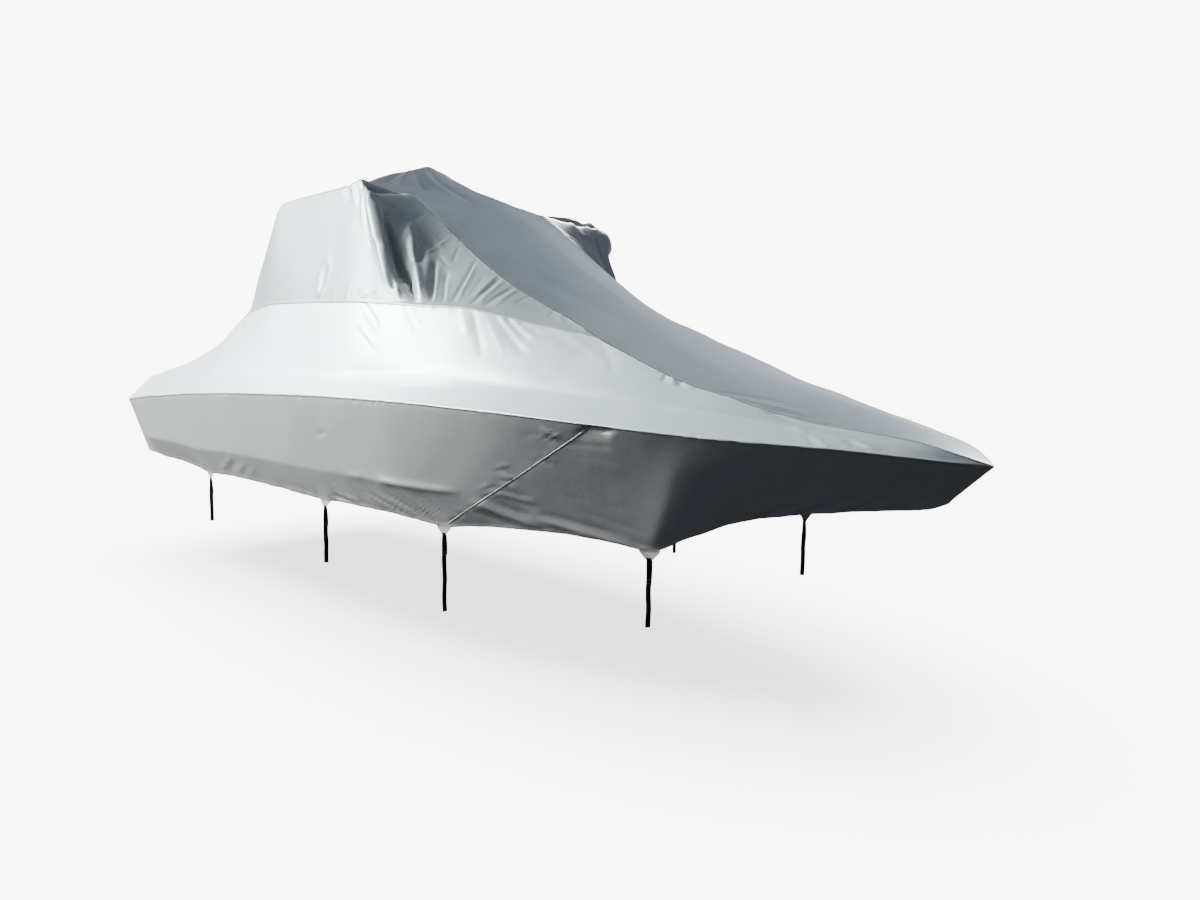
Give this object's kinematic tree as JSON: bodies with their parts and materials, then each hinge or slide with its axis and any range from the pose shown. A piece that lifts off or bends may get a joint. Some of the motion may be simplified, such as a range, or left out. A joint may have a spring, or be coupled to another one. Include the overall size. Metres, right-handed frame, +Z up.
{
  "type": "boat cover",
  "caption": "Fitted cloth cover for a boat with a tall tower: a long centre strip, side panels, hanging skirts, hem tabs and webbing straps.",
  "frame": {"origin": "inner face of the cloth at its highest point, where the support that carries the tower's top stands", "axes": "+X towards the bow, +Y to port, +Z up"},
  "size_m": [6.6949, 2.468, 2.7446],
  "materials": {
    "cloth": "silver-grey coated cloth with a satin sheen",
    "tab": "light grey webbing",
    "strap": "black webbing"
  },
  "bodies": {
    "root": {"deck_side_starboard": "cloth", "centre_strip": "cloth", "tower_side_starboard": "cloth", "skirt_aft_starboard": "cloth", "skirt_fore_starboard": "cloth", "deck_side_port": "cloth", "tower_side_port": "cloth", "skirt_aft_port": "cloth", "skirt_fore_port": "cloth", "skirt_transom": "cloth", "hem_tab_rear_starboard": "tab", "strap_rear_starboard": "strap", "hem_tab_middle_starboard": "tab", "strap_middle_starboard": "strap", "hem_tab_split_starboard": "tab", "strap_split_starboard": "strap", "hem_tab_front_starboard": "tab", "strap_front_starboard": "strap", "hem_tab_rear_port": "tab", "strap_rear_port": "strap", "hem_tab_middle_port": "tab", "strap_middle_port": "strap", "hem_tab_split_port": "tab", "strap_split_port": "strap", "hem_tab_front_port": "tab", "strap_front_port": "strap"}
  },
  "joints": []
}
